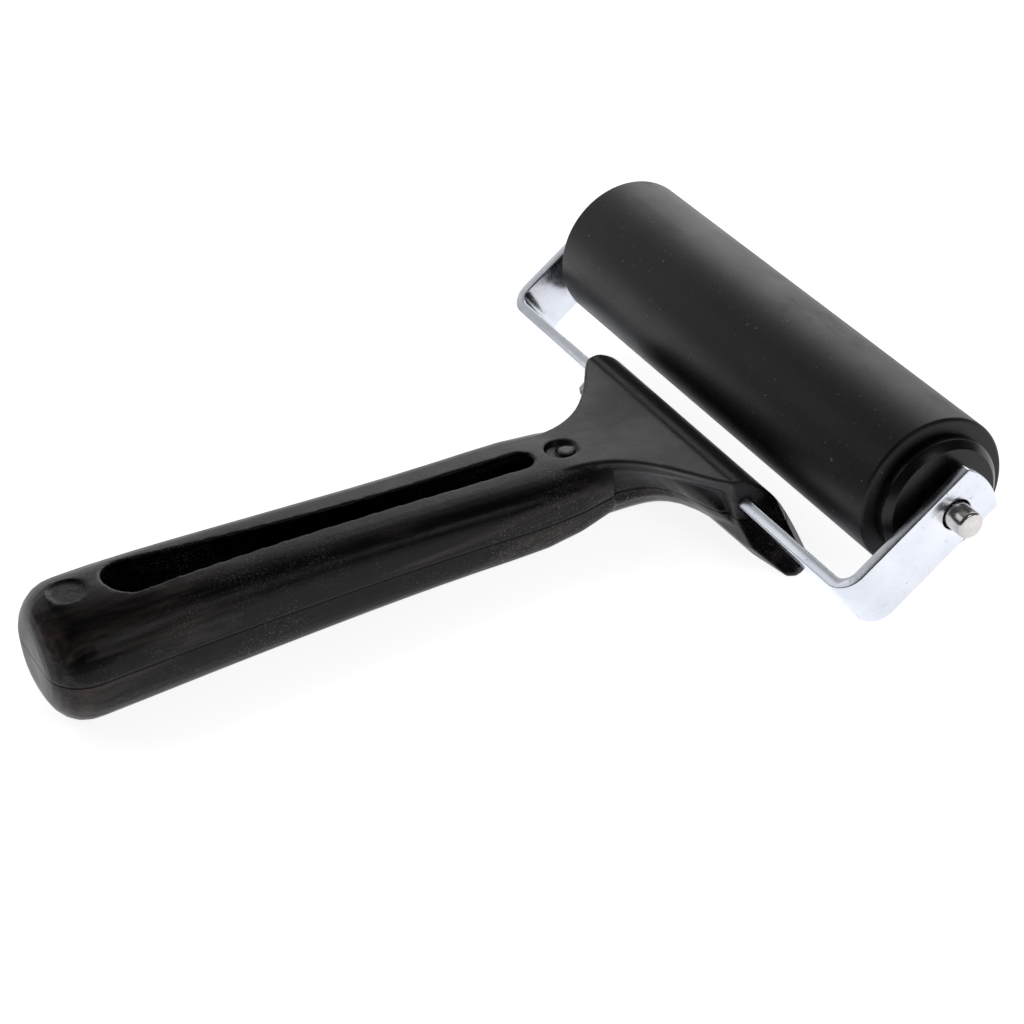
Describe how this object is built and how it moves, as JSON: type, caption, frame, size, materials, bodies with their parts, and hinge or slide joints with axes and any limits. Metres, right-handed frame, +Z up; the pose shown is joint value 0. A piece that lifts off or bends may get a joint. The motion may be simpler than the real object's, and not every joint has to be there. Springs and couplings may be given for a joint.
{
  "type": "rubber_brayer",
  "caption": "Rubber brayer lying on its back: a black rubber roller on an axle rod, held in a bent flat-strip steel frame moulded into a flared black plastic handle.",
  "frame": {"origin": "The middle of the underside of the whole object's box, on the table it lies on.", "axes": "+Z up from the table, +Y along the roller's axle, +X from the butt of the handle towards the roller."},
  "size_m": [0.1527, 0.122, 0.0317],
  "materials": {
    "handle_plastic": "moulded, semi-gloss, faintly speckled",
    "zinc_steel": "bright zinc plate",
    "axle_steel": "drawn bright rod",
    "core_plastic": "extruded tube, matt",
    "roller_rubber": "ground smooth, matt with a soft sheen",
    "plug_plastic": "moulded, glossy"
  },
  "bodies": {
    "root": {"handle": "handle_plastic", "frame_strap": "zinc_steel"},
    "roller": {"axle_rod": "axle_steel", "core_tube": "core_plastic", "rubber_sleeve": "roller_rubber", "left_end_plug": "plug_plastic", "right_end_plug": "plug_plastic"}
  },
  "joints": [
    {"name": "roller_spin", "type": "hinge", "parent": "root", "child": "roller", "pos_m": [0.06246, 0, 0.01787], "axis": [0, 1, 0], "continuous": true}
  ]
}
